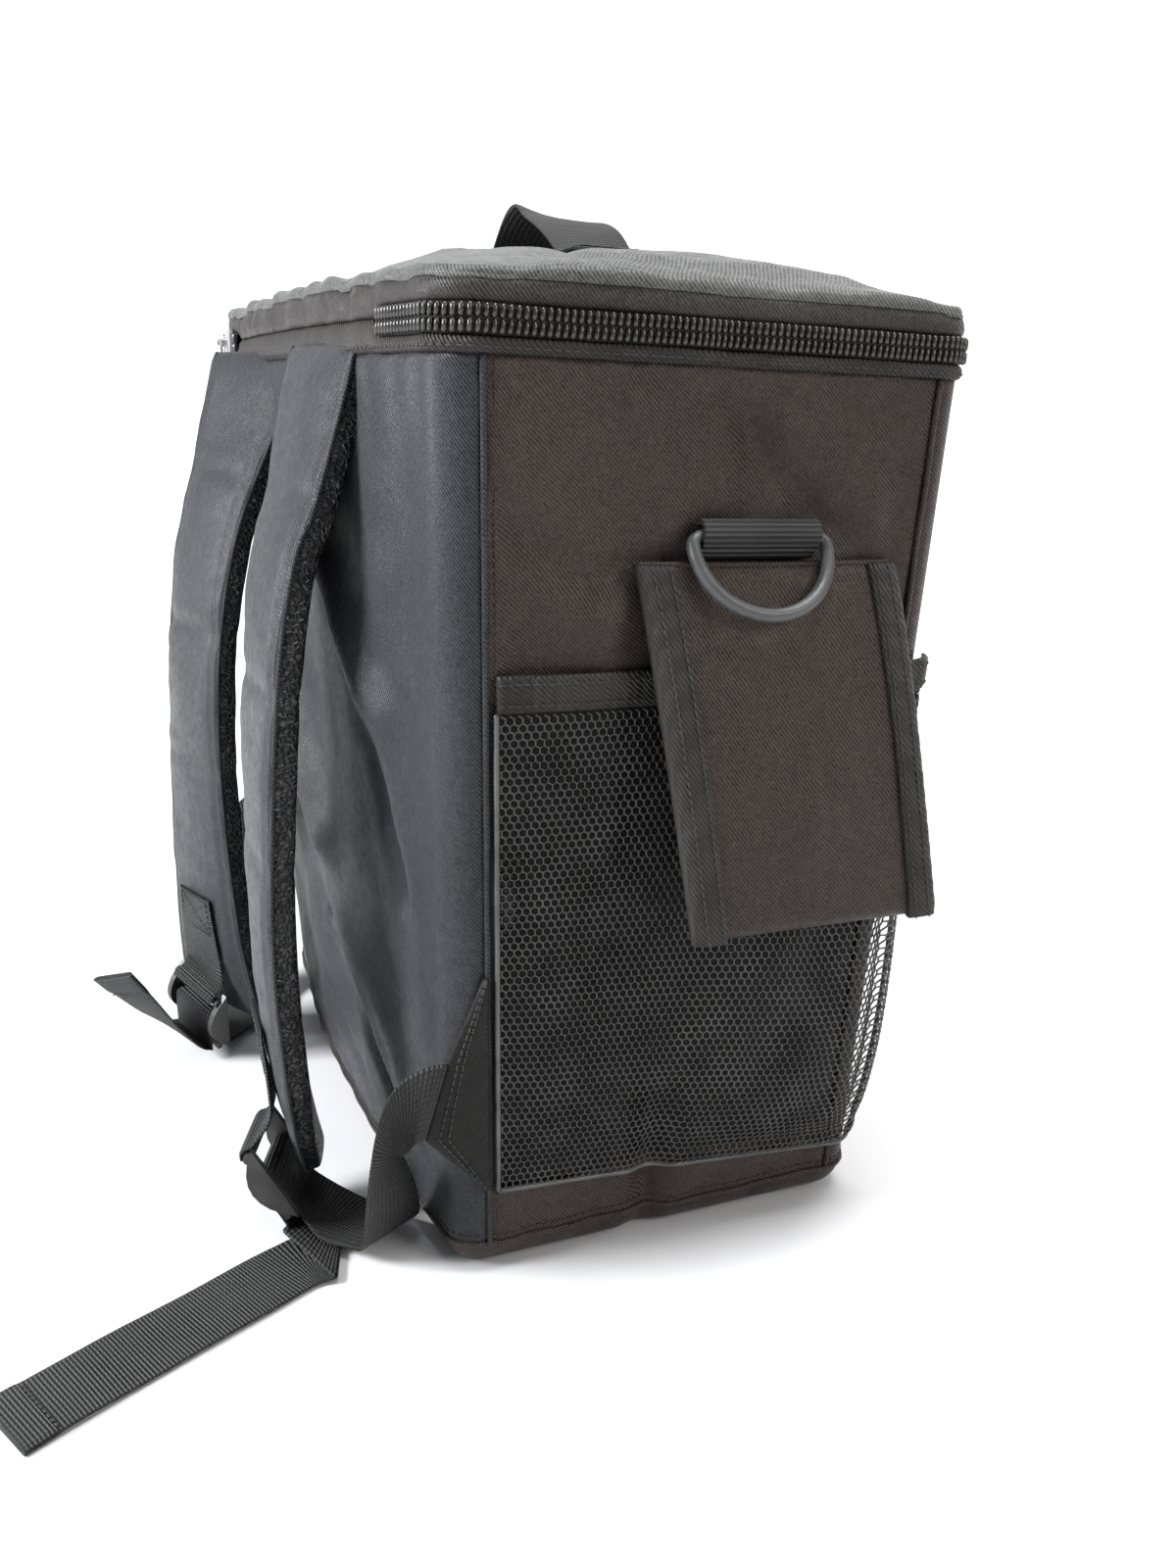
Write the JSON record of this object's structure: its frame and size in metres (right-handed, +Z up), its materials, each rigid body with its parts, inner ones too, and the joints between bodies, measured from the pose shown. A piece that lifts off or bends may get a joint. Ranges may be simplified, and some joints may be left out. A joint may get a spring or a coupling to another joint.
{
  "type": "backpack cooler",
  "caption": "Soft insulated backpack cooler: padded box with a zipped lid, shoulder straps with ladder-lock buckles, side D-rings, mesh pockets and a hanging pouch.",
  "frame": {"origin": "middle of the flat underside, on the surface that the cooler stands on", "axes": "+X to the wearer's left, where the pouch hangs; -Y out of the back panel with the shoulder straps; +Z up"},
  "size_m": [0.375, 0.3702, 0.4224],
  "materials": {
    "back_twill": "coated polyester twill, matt, cool grey",
    "side_twill": "coated polyester twill, matt, warm dark grey",
    "lid_twill": "coated polyester twill, matt",
    "binding": "woven binding tape, matt",
    "webbing": "ribbed woven webbing",
    "spacer_mesh": "knitted spacer mesh",
    "netting": "knitted net",
    "zip_coil": "nylon coil on woven tape",
    "ring_plastic": "satin moulded",
    "lock_plastic": "satin moulded",
    "nickel": "bright nickel plate"
  },
  "bodies": {
    "bag": {"back_panel": "back_twill", "left_side_panel": "side_twill", "front_panel": "side_twill", "right_side_panel": "side_twill", "base_panel": "side_twill", "top_band": "binding", "zip_chain": "zip_coil", "lid_band": "lid_twill", "lid_panel": "lid_twill", "top_handle": "webbing", "zip_slider_a": "nickel", "zip_slider_b": "nickel", "left_ring_loop": "webbing", "right_ring_loop": "webbing", "left_net_pocket": "netting", "left_pocket_elastic": "binding", "right_net_pocket": "netting", "right_pocket_elastic": "binding", "pouch_cloth": "side_twill", "pouch_back_binding": "binding", "pouch_front_binding": "binding", "left_strap_pad": "back_twill", "left_strap_mesh": "spacer_mesh", "left_lock": "lock_plastic", "left_lock_webbing": "webbing", "left_tab": "side_twill", "left_webbing": "webbing", "right_strap_pad": "back_twill", "right_strap_mesh": "spacer_mesh", "right_lock": "lock_plastic", "right_lock_webbing": "webbing", "right_tab": "side_twill", "right_webbing": "webbing"},
    "left_ring": {"left_d_ring": "ring_plastic"},
    "right_ring": {"right_d_ring": "ring_plastic"},
    "pull_a": {"zip_pull_a": "nickel"},
    "pull_b": {"zip_pull_b": "nickel"}
  },
  "joints": [
    {"name": "left_ring_hinge", "type": "hinge", "parent": "bag", "child": "left_ring", "pos_m": [0.16798, 0.015, 0.294], "axis": [0, -1, 0], "range_deg": [0, 140]},
    {"name": "right_ring_hinge", "type": "hinge", "parent": "bag", "child": "right_ring", "pos_m": [-0.16798, 0.015, 0.294], "axis": [0, 1, 0], "range_deg": [0, 160]},
    {"name": "pull_a_hinge", "type": "hinge", "parent": "bag", "child": "pull_a", "pos_m": [-0.1393, -0.12842, 0.36085], "axis": [-1, 0, 0], "range_deg": [0, 120]},
    {"name": "pull_b_hinge", "type": "hinge", "parent": "bag", "child": "pull_b", "pos_m": [-0.16662, -0.12196, 0.36085], "axis": [-0.7071, 0.7071, 0], "range_deg": [0, 120]}
  ]
}
